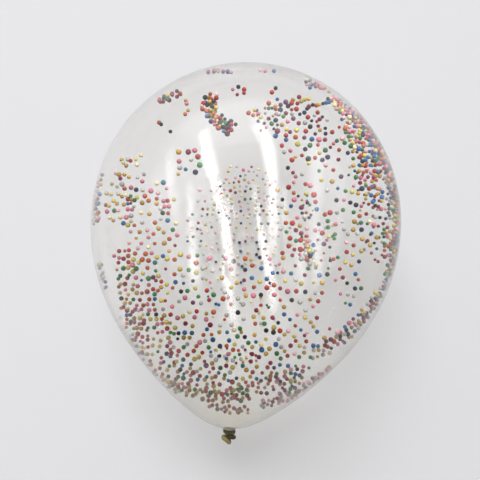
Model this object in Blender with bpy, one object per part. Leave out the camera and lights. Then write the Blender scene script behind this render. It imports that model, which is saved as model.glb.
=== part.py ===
"""A clear latex party balloon, blown up, tied off and laid on its side.

Skin, neck, knot and rolled lip are one piece of latex, so they make one closed solid.  A sealed
balloon stands for its outer shape here: the skin is only a fraction of a millimetre thick.

Units are metres and +Z is up.  The crown points towards +Y and the knot towards -Y.  The origin is
the middle of the small flat spot that the balloon lies on.  The body is turned about its own axis,
which dips towards the knot as it does on a table, where the balloon rolls until its centre of mass
stands over the spot that it touches.

The balloon is built on its own axis first: local +Z runs up to the crown, the widest ring is at
local z = 0, and local -Y is the side that ends up on top.
"""

import math

import bmesh
import bpy
from mathutils import Matrix, Vector

# ---------------------------------------------------------------- driving dimensions

BODY_RADIUS = 0.140        # the widest ring, of a balloon sold as 12 inch and blown to 280 mm
CROWN_HEIGHT = 0.1445      # widest ring up to the crown
NECK_DEPTH = 0.1905        # widest ring down to the tip where the neck is gathered
TAPER = 0.39               # how much an ellipse is drawn in at the neck end
TAPER_POWER = 2.4          # how late that drawing in starts
SPOT_HALF_WIDTH = 0.0175   # half the width of the flat spot that it lies on

THROAT_RADIUS = 0.0050     # the gathered neck between the body and the knot
THROAT_BLEND = 0.0022      # the body runs into the throat over this length
THROAT_END = Vector((0.0026, 0.0, -0.0090))    # inside the knot, from where the throat begins

STRAND = 0.0021            # half the thickness of the strand that is wound into the knot
UPPER_WRAP = Vector((0.0015, 0.0, -0.0052))    # its middle, from where the throat begins
UPPER_WRAP_RADIUS = 0.0039
UPPER_WRAP_TILT = math.radians(3.0)
LOWER_WRAP = Vector((0.0036, 0.0, -0.0090))
LOWER_WRAP_RADIUS = 0.0031
LOWER_WRAP_TILT = math.radians(12.0)

TAIL_ROOT = Vector((0.0028, 0.0, -0.0089))     # the tail leaves the knot from here
TAIL_LEAN = math.radians(35.0)                 # off the balloon's axis, towards -X
TAIL_LENGTH = 0.0063       # root to the rim of the lip
LIP_HALF_WIDTH = 0.0035    # the flattened neck at the lip, to the middle of the rolled edge
LIP_HALF_DEPTH = 0.0018    # the same, across the flattened neck
LIP_ROLL = 0.0016          # radius of the rolled edge
LIP_SQUASH = 0.8           # the roll is this much thinner across than it is long
ROLL_START = math.radians(-70.0)       # where the skin runs into the roll, seen in section
ROLL_SWEEP = math.radians(250.0)       # and how far it rolls over, into the mouth
LIP_POCKET = 0.0022        # depth of the open mouth inside the lip
TAIL_PINCH = 0.62          # how much narrower the tail is where it leaves the knot
TAIL_OPENS = 0.0044        # the tail has opened to its full width this far from its root
TAIL_WAIST = 0.0028        # and its skin lies closest this far from its root
TAIL_WAIST_DEPTH = 0.0005

# ---------------------------------------------------------------- how finely it is faceted

SEGMENTS = 64              # round the body
CROWN_RINGS = 18
FLANK_RINGS = 28
BLEND_RINGS = 3
WRAP_STEPS = 28            # round each turn of the knot
STRAND_STEPS = 10          # round the strand
LIP_STEPS = 24             # round the tail
ROLL_STEPS = 7             # over the rolled edge
SHARP_ANGLE = math.radians(35.0)
SLICES = 400               # for the centre of mass
HALVINGS = 60              # for finding a crossing
MERGE = 0.000001


# ---------------------------------------------------------------- the outline and its balance

def body_radius(station):
    """Radius of the body at a height above the widest ring."""
    if station >= 0.0:
        return BODY_RADIUS * math.sqrt(max(0.0, 1.0 - (station / CROWN_HEIGHT) ** 2))
    fall = min(1.0, -station / NECK_DEPTH)
    return BODY_RADIUS * math.sqrt(1.0 - fall ** 2) * (1.0 - TAPER * fall ** TAPER_POWER)


def flank_slope(station):
    """How fast the radius grows towards the crown, below the widest ring."""
    fall = -station / NECK_DEPTH
    round_off = math.sqrt(1.0 - fall ** 2)
    drawn_in = 1.0 - TAPER * fall ** TAPER_POWER
    steeper = TAPER * TAPER_POWER * fall ** (TAPER_POWER - 1.0)
    return BODY_RADIUS / NECK_DEPTH * (fall / round_off * drawn_in + round_off * steeper)


def centre_of_mass():
    """Height of the solid body's centre of mass above the widest ring."""
    step = (CROWN_HEIGHT + NECK_DEPTH) / SLICES
    heights = [-NECK_DEPTH + (k + 0.5) * step for k in range(SLICES)]
    areas = [body_radius(height) ** 2 for height in heights]
    return sum(area * height for area, height in zip(areas, heights)) / sum(areas)


def crossing(rising, low, high):
    """Where a rising function of height passes zero, found by halving the span."""
    for _ in range(HALVINGS):
        middle = 0.5 * (low + high)
        if rising(middle) > 0.0:
            high = middle
        else:
            low = middle
    return 0.5 * (low + high)


def resting_station():
    """Height of the ring it rests on: there the line square to the skin meets the centre of mass."""
    balance = centre_of_mass()
    return crossing(lambda z: z + body_radius(z) * flank_slope(z) - balance, -0.6 * NECK_DEPTH, 0.0)


def throat_station():
    """Height where the body has drawn in to the throat's radius and its blend begins."""
    start = THROAT_RADIUS + THROAT_BLEND
    return crossing(lambda z: body_radius(z) - start, -NECK_DEPTH, -0.5 * NECK_DEPTH)


def body_outline():
    """Points (radius, height) from the crown down to where the throat begins."""
    points = [(0.0, CROWN_HEIGHT)]
    for k in range(1, CROWN_RINGS):
        turn = 0.5 * math.pi * (1.0 - k / CROWN_RINGS)
        points.append((BODY_RADIUS * math.cos(turn), CROWN_HEIGHT * math.sin(turn)))
    last = math.asin(-throat_station() / NECK_DEPTH)
    for k in range(FLANK_RINGS + 1):
        height = -NECK_DEPTH * math.sin(last * k / FLANK_RINGS)
        points.append((body_radius(height), height))
    foot = throat_station()
    for k in range(1, BLEND_RINGS + 1):
        turn = 0.5 * math.pi * k / BLEND_RINGS
        radius = THROAT_RADIUS + THROAT_BLEND * (1.0 - math.sin(turn))
        points.append((radius, foot - THROAT_BLEND * (1.0 - math.cos(turn))))
    return points


# ---------------------------------------------------------------- mesh helpers

def new_object(name, bm):
    """Turn a bmesh into an object in the scene, with its faces pointing out."""
    bmesh.ops.recalc_face_normals(bm, faces=bm.faces)
    mesh = bpy.data.meshes.new(name)
    bm.to_mesh(mesh)
    bm.free()
    mesh.shade_smooth()
    mesh.set_sharp_from_angle(angle=SHARP_ANGLE)
    item = bpy.data.objects.new(name, mesh)
    bpy.context.scene.collection.objects.link(item)
    return item


def skin_sections(sections):
    """Join rings of equal length into one closed surface with both ends capped."""
    bm = bmesh.new()
    rings = [[bm.verts.new(point) for point in section] for section in sections]
    count = len(rings[0])
    for near, far in zip(rings, rings[1:]):
        for k in range(count):
            nxt = (k + 1) % count
            bm.faces.new((near[k], near[nxt], far[nxt], far[k]))
    bm.faces.new(reversed(rings[0]))
    bm.faces.new(rings[-1])
    return bm


def join_to(target, guide):
    """Join a guide's solid to the target with a Boolean and hide the guide."""
    guide.hide_render = True
    guide.display_type = 'WIRE'
    union = target.modifiers.new(guide.name, 'BOOLEAN')
    union.operation = 'UNION'
    union.solver = 'EXACT'
    union.object = guide


def latex_material():
    """Nearly clear, warm-tinted latex."""
    material = bpy.data.materials.new("clear_latex")
    material.use_nodes = True
    shader = material.node_tree.nodes["Principled BSDF"]
    shader.inputs["Base Color"].default_value = (0.78, 0.77, 0.70, 1.0)
    shader.inputs["Roughness"].default_value = 0.12
    shader.inputs["Metallic"].default_value = 0.0
    shader.inputs["Alpha"].default_value = 0.3
    return material


# ---------------------------------------------------------------- the pieces of the shape

def turned_body():
    """The body, turned about its axis, with the throat drawn out of its open end and closed."""
    bm = bmesh.new()
    verts = [bm.verts.new((radius, 0.0, height)) for radius, height in body_outline()]
    edges = [bm.edges.new(pair) for pair in zip(verts, verts[1:])]
    bmesh.ops.spin(bm, geom=verts + edges, cent=(0.0, 0.0, 0.0), axis=(0.0, 0.0, 1.0),
                   angle=2.0 * math.pi, steps=SEGMENTS, use_duplicate=False)
    bmesh.ops.remove_doubles(bm, verts=bm.verts, dist=MERGE)
    mouth = [edge for edge in bm.edges if edge.is_boundary]
    drawn = bmesh.ops.extrude_edge_only(bm, edges=mouth)["geom"]
    end_verts = [item for item in drawn if isinstance(item, bmesh.types.BMVert)]
    end_edges = [item for item in drawn if isinstance(item, bmesh.types.BMEdge) and item.is_boundary]
    bmesh.ops.translate(bm, verts=end_verts, vec=THROAT_END + Vector((0.0, 0.0, THROAT_BLEND)))
    bmesh.ops.edgeloop_fill(bm, edges=end_edges)
    return bm


def cut_flat_spot(bm, touch, down):
    """Cut the body off flat where it touches the ground, and close the cut.

    touch is the point where the round body would touch and down points square to the ground.
    """
    cross_radius = body_radius(touch.z) / down.y
    depth = cross_radius - math.sqrt(cross_radius ** 2 - SPOT_HALF_WIDTH ** 2)
    foot = touch - depth * down
    cut = bmesh.ops.bisect_plane(bm, geom=bm.verts[:] + bm.edges[:] + bm.faces[:], dist=MERGE,
                                 plane_co=foot, plane_no=down, clear_outer=True)
    rim = [item for item in cut["geom_cut"] if isinstance(item, bmesh.types.BMEdge)]
    bmesh.ops.edgeloop_fill(bm, edges=rim)
    return foot


def wrap(name, middle, radius, tilt):
    """One turn of the knot: a strand bent into a ring round the throat."""
    bm = bmesh.new()
    section = Matrix.Translation((radius, 0.0, 0.0)) @ Matrix.Rotation(0.5 * math.pi, 4, 'X')
    bmesh.ops.create_circle(bm, segments=STRAND_STEPS, radius=STRAND, matrix=section)
    bmesh.ops.spin(bm, geom=bm.verts[:] + bm.edges[:], cent=(0.0, 0.0, 0.0), axis=(0.0, 0.0, 1.0),
                   angle=2.0 * math.pi, steps=WRAP_STEPS, use_duplicate=False)
    bmesh.ops.remove_doubles(bm, verts=bm.verts, dist=MERGE)
    placed = Matrix.Translation(middle) @ Matrix.Rotation(tilt, 4, 'Y')
    bmesh.ops.transform(bm, matrix=placed, verts=bm.verts)
    return new_object(name, bm)


def tail_outline():
    """Pairs (distance along the tail, swell beyond the lip's middle line), out and back in."""
    outline = [(0.0, 0.0), (TAIL_WAIST, -TAIL_WAIST_DEPTH)]
    roll_middle = TAIL_LENGTH - LIP_ROLL
    for k in range(ROLL_STEPS + 1):
        turn = ROLL_START + ROLL_SWEEP * k / ROLL_STEPS
        swell = LIP_SQUASH * LIP_ROLL * math.cos(turn)
        outline.append((roll_middle + LIP_ROLL * math.sin(turn), swell))
    outline.append((roll_middle - LIP_POCKET, -LIP_SQUASH * LIP_ROLL))
    return outline


def tail():
    """The short end of the neck past the knot, with its rolled lip and shallow open mouth."""
    along = Vector((-math.sin(TAIL_LEAN), 0.0, -math.cos(TAIL_LEAN)))
    across = Vector((math.cos(TAIL_LEAN), 0.0, -math.sin(TAIL_LEAN)))
    deep = Vector((0.0, 1.0, 0.0))
    sections = []
    for distance, swell in tail_outline():
        opened = TAIL_PINCH + (1.0 - TAIL_PINCH) * min(1.0, distance / TAIL_OPENS)
        section = []
        for k in range(LIP_STEPS):
            turn = 2.0 * math.pi * k / LIP_STEPS
            wide = (LIP_HALF_WIDTH * opened + swell) * math.cos(turn)
            thick = (LIP_HALF_DEPTH + swell) * math.sin(turn)
            section.append(TAIL_ROOT + along * distance + across * wide + deep * thick)
        sections.append(section)
    return new_object("tail_guide", skin_sections(sections))


# ---------------------------------------------------------------- the balloon

def main():
    """Build the balloon and lay it down on its flat spot."""
    for item in list(bpy.data.objects):
        bpy.data.objects.remove(item, do_unlink=True)

    station = resting_station()
    dip = math.atan(flank_slope(station))
    down = Vector((0.0, math.cos(dip), -math.sin(dip)))
    touch = Vector((0.0, body_radius(station), station))

    body = turned_body()
    foot = cut_flat_spot(body, touch, down)
    balloon = new_object("balloon", body)
    balloon.data.materials.append(latex_material())

    guides = [
        wrap("upper_wrap_guide", UPPER_WRAP, UPPER_WRAP_RADIUS, UPPER_WRAP_TILT),
        wrap("lower_wrap_guide", LOWER_WRAP, LOWER_WRAP_RADIUS, LOWER_WRAP_TILT),
        tail(),
    ]
    for guide in guides:
        guide.parent = balloon
        guide.location = (0.0, 0.0, throat_station())
        join_to(balloon, guide)

    lay_down = Matrix.Rotation(dip - 0.5 * math.pi, 4, 'X')
    balloon.matrix_world = lay_down @ Matrix.Translation(-foot)


main()
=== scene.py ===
"""A clear latex party balloon with small dyed foam balls clinging inside it, on a pale studio floor.

The balloon is blown up, tied off and lying on its side.  It is made of the latex skin, the knot
with its rolled lip, and the loose foam balls, which static electricity holds against the inside
of the skin.  The balls are gathered into one piece for each colour of foam.

Lengths are metres unless a name ends in _mm.  A place on the skin is given by its bearing, in
degrees round the balloon's own axis from the side that lies uppermost towards +X, and by its
station, the height above the widest ring towards the crown.
"""

import logging
import math
import random
from collections.abc import Callable, Iterator, Sequence
from dataclasses import dataclass, field
from enum import Enum
from functools import cached_property

import bmesh
import bpy
import numpy as np
from bpy.types import Material, Mesh, Node, NodeSocket, Object, World
from mathutils import Matrix, Vector, noise


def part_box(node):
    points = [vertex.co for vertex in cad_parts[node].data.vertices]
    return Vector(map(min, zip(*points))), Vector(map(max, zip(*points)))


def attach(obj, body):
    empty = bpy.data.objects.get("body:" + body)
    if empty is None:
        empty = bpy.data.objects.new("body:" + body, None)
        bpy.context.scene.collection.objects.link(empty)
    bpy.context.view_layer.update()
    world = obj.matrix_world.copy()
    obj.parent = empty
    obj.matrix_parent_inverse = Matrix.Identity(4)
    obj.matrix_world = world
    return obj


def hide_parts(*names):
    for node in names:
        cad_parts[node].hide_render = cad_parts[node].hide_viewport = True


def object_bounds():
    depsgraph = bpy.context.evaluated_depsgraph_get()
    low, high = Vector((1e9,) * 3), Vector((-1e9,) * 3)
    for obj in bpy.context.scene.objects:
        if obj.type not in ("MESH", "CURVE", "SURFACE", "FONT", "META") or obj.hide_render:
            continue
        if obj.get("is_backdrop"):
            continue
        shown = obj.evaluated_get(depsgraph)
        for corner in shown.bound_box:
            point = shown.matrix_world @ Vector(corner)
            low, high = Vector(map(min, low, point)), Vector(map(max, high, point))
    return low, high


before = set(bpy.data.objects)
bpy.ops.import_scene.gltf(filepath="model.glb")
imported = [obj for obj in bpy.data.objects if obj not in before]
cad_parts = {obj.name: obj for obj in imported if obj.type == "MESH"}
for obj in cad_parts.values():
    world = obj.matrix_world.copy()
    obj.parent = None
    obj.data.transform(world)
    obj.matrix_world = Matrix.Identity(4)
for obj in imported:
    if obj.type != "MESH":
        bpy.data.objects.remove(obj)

LOG = logging.getLogger("balloon")
BODY = "root"
NODE = "balloon"
MM = 0.001
TINY = 1e-6

Span = tuple[float, float]
Place = tuple[float, float, float]
Colour = tuple[float, float, float]
Face = tuple[int, ...]


# ---------------------------------------------------------------- the shape it all follows

def smooth_step(value: float, low: float, high: float) -> float:
    """Rise smoothly from 0 at low to 1 at high."""
    share = min(1.0, max(0.0, (value - low) / (high - low)))
    return share * share * (3.0 - 2.0 * share)


def crossing(rising: Callable[[float], float], low: float, high: float, halvings: int = 60) -> float:
    """Find where a rising function passes zero.

    Args:
        rising: the function.
        low: a place where it is below zero.
        high: a place where it is above zero.
        halvings: how often the stretch between them is halved.

    Returns:
        The place of the crossing.
    """
    for _ in range(halvings):
        middle = 0.5 * (low + high)
        if rising(middle) > 0.0:
            high = middle
        else:
            low = middle
    return 0.5 * (low + high)


@dataclass(frozen=True)
class BalloonForm:
    """The blown-up balloon's outline, and the way it lies on the floor.

    Shares are parts of the radius.  The body is an ellipsoid above the widest ring, and below it
    an ellipsoid that is drawn in towards the neck.
    """

    radius: float
    crown_share: float = 0.1445 / 0.140
    neck_share: float = 0.1905 / 0.140
    taper: float = 0.39
    taper_power: float = 2.4
    spot_share: float = 0.0175 / 0.140
    throat_share: float = 0.0050 / 0.140
    blend_share: float = 0.0022 / 0.140
    steepest_fall: float = 0.9999
    slices: int = 400

    @property
    def crown(self) -> float:
        """Height of the crown above the widest ring."""
        return self.radius * self.crown_share

    @property
    def neck(self) -> float:
        """Depth of the neck's tip below the widest ring."""
        return self.radius * self.neck_share

    def ring(self, station: float) -> float:
        """Work out how wide the body is.

        Args:
            station: height above the widest ring.

        Returns:
            The body's radius there.
        """
        if station >= 0.0:
            return self.radius * math.sqrt(max(0.0, 1.0 - (station / self.crown) ** 2))
        fall = min(1.0, -station / self.neck)
        drawn_in = 1.0 - self.taper * fall ** self.taper_power
        return self.radius * math.sqrt(1.0 - fall ** 2) * drawn_in

    def slope(self, station: float) -> float:
        """Work out how fast the body widens towards the crown.

        Args:
            station: height above the widest ring.

        Returns:
            The radius gained for each metre of height there.
        """
        if station >= 0.0:
            return -self.radius ** 2 * station / (self.crown ** 2 * max(self.ring(station), TINY))
        fall = min(self.steepest_fall, -station / self.neck)
        round_off = math.sqrt(1.0 - fall ** 2)
        drawn_in = 1.0 - self.taper * fall ** self.taper_power
        steeper = self.taper * self.taper_power * fall ** (self.taper_power - 1.0)
        return self.radius / self.neck * (fall / round_off * drawn_in + round_off * steeper)

    @cached_property
    def balance(self) -> float:
        """Station of the centre of mass of the body as a solid, found in thin slices.

        Returns:
            The station.
        """
        step = (self.crown + self.neck) / self.slices
        stations = [-self.neck + (k + 0.5) * step for k in range(self.slices)]
        areas = [self.ring(station) ** 2 for station in stations]
        return sum(area * station for area, station in zip(areas, stations)) / sum(areas)

    @cached_property
    def resting_station(self) -> float:
        """Station of the ring it rests on, with the centre of mass over the point that touches."""
        return crossing(lambda z: z + self.ring(z) * self.slope(z) - self.balance,
                        -0.6 * self.neck, 0.0)

    @cached_property
    def dip(self) -> float:
        """How far the axis dips towards the knot, in radians."""
        return math.atan(self.slope(self.resting_station))

    @cached_property
    def throat_station(self) -> float:
        """Station where the body has drawn in to the throat and its blend begins."""
        start = self.radius * (self.throat_share + self.blend_share)
        return crossing(lambda z: self.ring(z) - start, -self.neck, -0.5 * self.neck)

    @cached_property
    def to_world(self) -> Matrix:
        """Takes the balloon's own space, with +Z to the crown and -Y uppermost, to the floor.

        Returns:
            The matrix.
        """
        down = Vector((0.0, math.cos(self.dip), -math.sin(self.dip)))
        touch = Vector((0.0, self.ring(self.resting_station), self.resting_station))
        across = touch.y / down.y
        spot = self.radius * self.spot_share
        depth = across - math.sqrt(across ** 2 - spot ** 2)
        lay_down = Matrix.Rotation(self.dip - 0.5 * math.pi, 4, 'X')
        return lay_down @ Matrix.Translation(depth * down - touch)

    def outward(self, bearing: float, station: float) -> Vector:
        """Find the way out of the balloon, square to its skin.

        Args:
            bearing: degrees round the axis from the uppermost side towards +X.
            station: height above the widest ring.

        Returns:
            The direction in the balloon's own space, of length 1.
        """
        lean = self.slope(station)
        level = 1.0 / math.hypot(1.0, lean)
        turn = math.radians(bearing)
        return Vector((level * math.sin(turn), -level * math.cos(turn), -lean * level))

    def point(self, bearing: float, station: float, inset: float = 0.0) -> Vector:
        """Find a point on the skin or inside it.

        Args:
            bearing: degrees round the axis from the uppermost side towards +X.
            station: height above the widest ring.
            inset: distance in from the skin, square to it.

        Returns:
            The point in the balloon's own space.
        """
        turn = math.radians(bearing)
        ring = self.ring(station)
        skin = Vector((ring * math.sin(turn), -ring * math.cos(turn), station))
        return skin - inset * self.outward(bearing, station)


# ---------------------------------------------------------------- wiring up finishes

def rgba(value: object) -> object:
    """Give a plain colour its fourth number, and pass a socket through."""
    return (*value, 1.0) if isinstance(value, tuple) else value


class Wiring:
    """The node tree of a material or of the surroundings while it is being wired up."""

    def __init__(self, owner: Material | World, output: str = "ShaderNodeOutputMaterial") -> None:
        """Start with only the output.

        Args:
            owner: the material or the surroundings.
            output: the kind of its output node.
        """
        self.owner = owner
        owner.use_nodes = True
        self.tree = owner.node_tree
        self.tree.nodes.clear()
        self.output = self.node(output)

    @classmethod
    def of_material(cls, name: str) -> "Wiring":
        """Start a new material."""
        return cls(bpy.data.materials.new(name))

    def feed(self, socket: NodeSocket, value: object) -> None:
        """Link a socket to another, or set it to a plain value.

        Args:
            socket: the input to feed.
            value: an output, or a number or numbers of the kind that the input takes.
        """
        if isinstance(value, NodeSocket):
            self.tree.links.new(value, socket)
        else:
            socket.default_value = value

    def node(self, kind: str, inputs: dict | None = None, **settings: object) -> Node:
        """Add a node.

        Args:
            kind: the kind of node.
            inputs: what feeds its inputs, by their name or number.
            settings: the node's own settings.

        Returns:
            The node.
        """
        node = self.tree.nodes.new(kind)
        for name, value in settings.items():
            setattr(node, name, value)
        for name, value in (inputs or {}).items():
            self.feed(node.inputs[name], value)
        return node

    def add(self, kind: str, inputs: dict | None = None, output: str | int = 0,
            **settings: object) -> NodeSocket:
        """Add a node and hand over one of its outputs, by its name or number."""
        return self.node(kind, inputs, **settings).outputs[output]

    def math(self, operation: str, *values: object, clamp: bool = False) -> NodeSocket:
        """Work out a number from outputs and plain numbers, kept between 0 and 1 by clamp."""
        return self.add("ShaderNodeMath", dict(enumerate(values)), "Value",
                        operation=operation, use_clamp=clamp)

    def blend(self, factor: object, first: object, second: object) -> NodeSocket:
        """Blend two colours by a factor, from first at 0 to second at 1."""
        ends = {"Factor": factor, "A": rgba(first), "B": rgba(second)}
        return self.add("ShaderNodeMix", ends, "Result", data_type='RGBA')

    def ramp(self, value: NodeSocket, span: Span, into: Span = (0.0, 1.0)) -> NodeSocket:
        """Turn one span of a number smoothly into another."""
        ends = {"Value": value, "From Min": span[0], "From Max": span[1],
                "To Min": into[0], "To Max": into[1]}
        return self.add("ShaderNodeMapRange", ends, "Result", interpolation_type='SMOOTHSTEP')

    def place(self) -> NodeSocket:
        """Position on the object in metres."""
        return self.add("ShaderNodeTexCoord", output="Object")

    def noise(self, place: NodeSocket, grain: float, detail: float = 2.0) -> NodeSocket:
        """Noise with features about grain metres across."""
        inputs = {"Scale": 1.0 / grain, "Detail": detail, "Vector": place}
        return self.add("ShaderNodeTexNoise", inputs, "Fac")

    def cells(self, place: NodeSocket, size: float) -> NodeSocket:
        """Distance to the middle of the nearest cell, for cells about size metres across."""
        return self.add("ShaderNodeTexVoronoi", {"Scale": 1.0 / size, "Vector": place}, "Distance")

    def carried(self, name: str) -> NodeSocket:
        """A number that the mesh carries at its points."""
        return self.add("ShaderNodeAttribute", output="Fac", attribute_name=name)

    def bump(self, height: NodeSocket, strength: float, depth: float) -> NodeSocket:
        """A bumped normal, depth metres deep at a strength from 0 to 1."""
        inputs = {"Strength": strength, "Distance": depth, "Height": height}
        return self.add("ShaderNodeBump", inputs, "Normal")

    def along(self, direction: NodeSocket, axis: Sequence[float]) -> NodeSocket:
        """How far a direction goes along an axis."""
        inputs = {0: direction, 1: axis}
        return self.add("ShaderNodeVectorMath", inputs, "Value", operation='DOT_PRODUCT')

    def surface(self, colour: NodeSocket, roughness: object, specular: float,
                **others: object) -> NodeSocket:
        """An ordinary surface, with its other inputs by their name."""
        inputs = {"Base Color": colour, "Roughness": roughness, "Specular IOR Level": specular}
        return self.add("ShaderNodeBsdfPrincipled", inputs | others)

    def clear(self, **inputs: object) -> NodeSocket:
        """Nothing but what is behind, tinted if a Color is given."""
        return self.add("ShaderNodeBsdfTransparent", inputs)

    def mix(self, factor: NodeSocket, first: NodeSocket, second: NodeSocket) -> NodeSocket:
        """Mix two shaders by a factor, from first at 0 to second at 1."""
        return self.add("ShaderNodeMixShader", {0: factor, 1: first, 2: second})

    def finish(self, shader: NodeSocket) -> Material | World:
        """Send a shader to the output and hand over its owner."""
        self.feed(self.output.inputs["Surface"], shader)
        return self.owner


@dataclass(frozen=True)
class FilmFinish:
    """Clear latex film: see-through and glossy, a little cloudy, and cloudier where it is thick.

    The cloud is how much of the light the film stops where it is seen square on.  Seen more edge
    on, the light has more latex to pass, so the film looks cloudier, and milky along its brim.
    """

    name: str = "clear_latex_film"
    cloud: float = 0.012
    neck_cloud: float = 0.16
    edge_on_limit: float = 0.10
    milky: float = 0.20
    brim: Span = (0.60, 0.93)
    cloud_colour: Colour = (0.75, 0.75, 0.72)
    neck_colour: Colour = (0.71, 0.68, 0.58)
    clear_colour: Colour = (0.985, 0.982, 0.970)
    neck_clear_colour: Colour = (0.957, 0.937, 0.877)
    cloud_roughness: float = 0.6
    gloss_face_on: float = 0.052
    gloss_power: float = 5.0
    roughness: float = 0.06
    uneven: float = 0.45
    blotch_size: float = 0.045
    blotch_detail: float = 3.0
    blotch_span: Span = (0.3, 0.7)
    ripple_size: float = 0.030
    ripple_detail: float = 1.0
    ripple_depth: float = 0.00014

    def material(self) -> Material:
        """Wire the film up.

        Returns:
            The material.
        """
        wiring = Wiring.of_material(self.name)
        place = wiring.place()
        neck = wiring.carried("neck")
        edge_on = wiring.add("ShaderNodeLayerWeight", output="Facing")
        blotches = wiring.noise(place, self.blotch_size, self.blotch_detail)
        uneven = wiring.ramp(blotches, self.blotch_span, (1.0 - self.uneven, 1.0 + self.uneven))
        thin = wiring.math('MULTIPLY', uneven, self.cloud)
        thick = wiring.math('MULTIPLY_ADD', neck, self.neck_cloud, thin)
        square_on = wiring.math('SUBTRACT', 1.0 + self.edge_on_limit, edge_on)
        travel = wiring.math('DIVIDE', thick, square_on)
        passed = wiring.math('POWER', math.exp(-1.0), travel)
        brim = wiring.ramp(edge_on, self.brim, (0.0, self.milky))
        cloudy = wiring.math('ADD', wiring.math('SUBTRACT', 1.0, passed), brim, clamp=True)
        haze = wiring.surface(wiring.blend(neck, self.cloud_colour, self.neck_colour),
                              self.cloud_roughness, 0.0)
        clear = wiring.clear(Color=wiring.blend(neck, self.clear_colour, self.neck_clear_colour))
        ripples = wiring.noise(place, self.ripple_size, self.ripple_detail)
        rippled = wiring.bump(ripples, 1.0, self.ripple_depth)
        gloss = wiring.add("ShaderNodeBsdfGlossy", {"Roughness": self.roughness, "Normal": rippled})
        steep = wiring.math('POWER', edge_on, self.gloss_power)
        mirror = wiring.math('MULTIPLY_ADD', steep, 1.0 - self.gloss_face_on, self.gloss_face_on)
        return wiring.finish(wiring.mix(mirror, wiring.mix(cloudy, clear, haze), gloss))


@dataclass(frozen=True)
class BunchedLatexFinish:
    """Latex bunched up thick in the knot: olive, darkened by painted shade in its creases and hollows,
    and paler on the thin rolled lip.
    """

    name: str = "bunched_latex"
    # near-black colour of the painted shade in the knot's creases and hollows
    shade_colour: Colour = (0.034, 0.022, 0.004)
    body_colour: Colour = (0.105, 0.082, 0.022)
    lip_colour: Colour = (0.270, 0.240, 0.075)
    roughness: Span = (0.26, 0.46)
    specular: float = 0.25
    crease_size: float = 0.0009
    crease_detail: float = 4.0
    crease_depth: float = 0.00012
    crease_strength: float = 0.8
    shade_span: Span = (0.35, 0.62)
    rough_span: Span = (0.3, 0.7)

    def material(self) -> Material:
        """Wire the knot's latex up.

        Returns:
            The material.
        """
        wiring = Wiring.of_material(self.name)
        creases = wiring.noise(wiring.place(), self.crease_size, self.crease_detail)
        # painted shade: the colour darkens towards the shade colour where the crease bump dips
        shade = wiring.ramp(creases, self.shade_span)
        shaded_folds = wiring.blend(shade, self.shade_colour, self.body_colour)
        skin = wiring.blend(wiring.carried("lip"), shaded_folds, self.lip_colour)
        # painted shade: the lip's mouth and the knot's middle between its turns blend to the shade
        # colour
        colour = wiring.blend(wiring.carried("hollow_shade"), skin, self.shade_colour)
        roughness = wiring.ramp(creases, self.rough_span, self.roughness)
        creased = wiring.bump(creases, self.crease_strength, self.crease_depth)
        return wiring.finish(wiring.surface(colour, roughness, self.specular, Normal=creased))


@dataclass(frozen=True)
class FoamFinish:
    """Dyed foam: matt and finely pebbled, with the dye a little uneven from ball to ball.

    Faded and strong say how far the palest and the deepest balls are from the dye, and walls and
    patches how far the walls of the cells and the paler patches are from the rest of a ball.
    """

    name: str
    dye: Colour
    faded: float = 0.016
    faded_to: float = 0.80
    strong: float = 0.46
    walls: float = 0.22
    patches: float = 0.25
    roughness: Span = (0.30, 0.48)
    specular: float = 0.10
    cell_size: float = 0.00042
    cell_depth: float = 0.00006
    cell_strength: float = 0.7
    wall_span: Span = (0.25, 0.75)
    rough_span: Span = (0.2, 0.8)
    patch_size: float = 0.0011
    patch_span: Span = (0.42, 0.72)

    def material(self) -> Material:
        """Wire the foam up.

        Returns:
            The material.
        """
        wiring = Wiring.of_material(self.name)
        place = wiring.place()
        cells = wiring.cells(place, self.cell_size)
        faded = tuple(part + (self.faded_to - part) * self.faded for part in self.dye)
        strong = tuple(part * (1.0 - self.strong) for part in self.dye)
        ball = wiring.blend(wiring.carried("tone"), strong, faded)
        walls = wiring.math('MULTIPLY', wiring.ramp(cells, self.wall_span), self.walls)
        dulled = wiring.blend(walls, ball, strong)
        spread = wiring.ramp(wiring.noise(place, self.patch_size), self.patch_span)
        colour = wiring.blend(wiring.math('MULTIPLY', spread, self.patches), dulled, faded)
        roughness = wiring.ramp(cells, self.rough_span, self.roughness)
        raised = wiring.math('SUBTRACT', 1.0, cells)
        pebbled = wiring.bump(raised, self.cell_strength, self.cell_depth)
        return wiring.finish(wiring.surface(colour, roughness, self.specular, Normal=pebbled))


@dataclass(frozen=True)
class FloorFinish:
    """A pale matt studio floor with a barely seen grain, which blends into the room far away."""

    name: str = "studio_floor"
    colour: Colour = (0.770, 0.765, 0.782)
    duller: float = 0.985
    grain_size: float = 0.35
    roughness: float = 0.9
    specular: float = 0.1

    def material(self) -> Material:
        """Wire the floor up.

        Returns:
            The material.
        """
        wiring = Wiring.of_material(self.name)
        grain = wiring.noise(wiring.place(), self.grain_size)
        duller = tuple(part * self.duller for part in self.colour)
        colour = wiring.blend(grain, self.colour, duller)
        matt = wiring.surface(colour, self.roughness, self.specular)
        return wiring.finish(wiring.mix(wiring.carried("cover"), wiring.clear(), matt))


@dataclass(frozen=True)
class GlowFinish:
    """A plain glow, as bright at each point as its mesh says, with the room showing through."""

    name: str

    def material(self) -> Material:
        """Wire the glow up.

        Returns:
            The material.
        """
        wiring = Wiring.of_material(self.name)
        glow = wiring.add("ShaderNodeEmission", {"Strength": wiring.carried("glow")})
        return wiring.finish(wiring.add("ShaderNodeAddShader", {0: glow, 1: wiring.clear()}))


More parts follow.
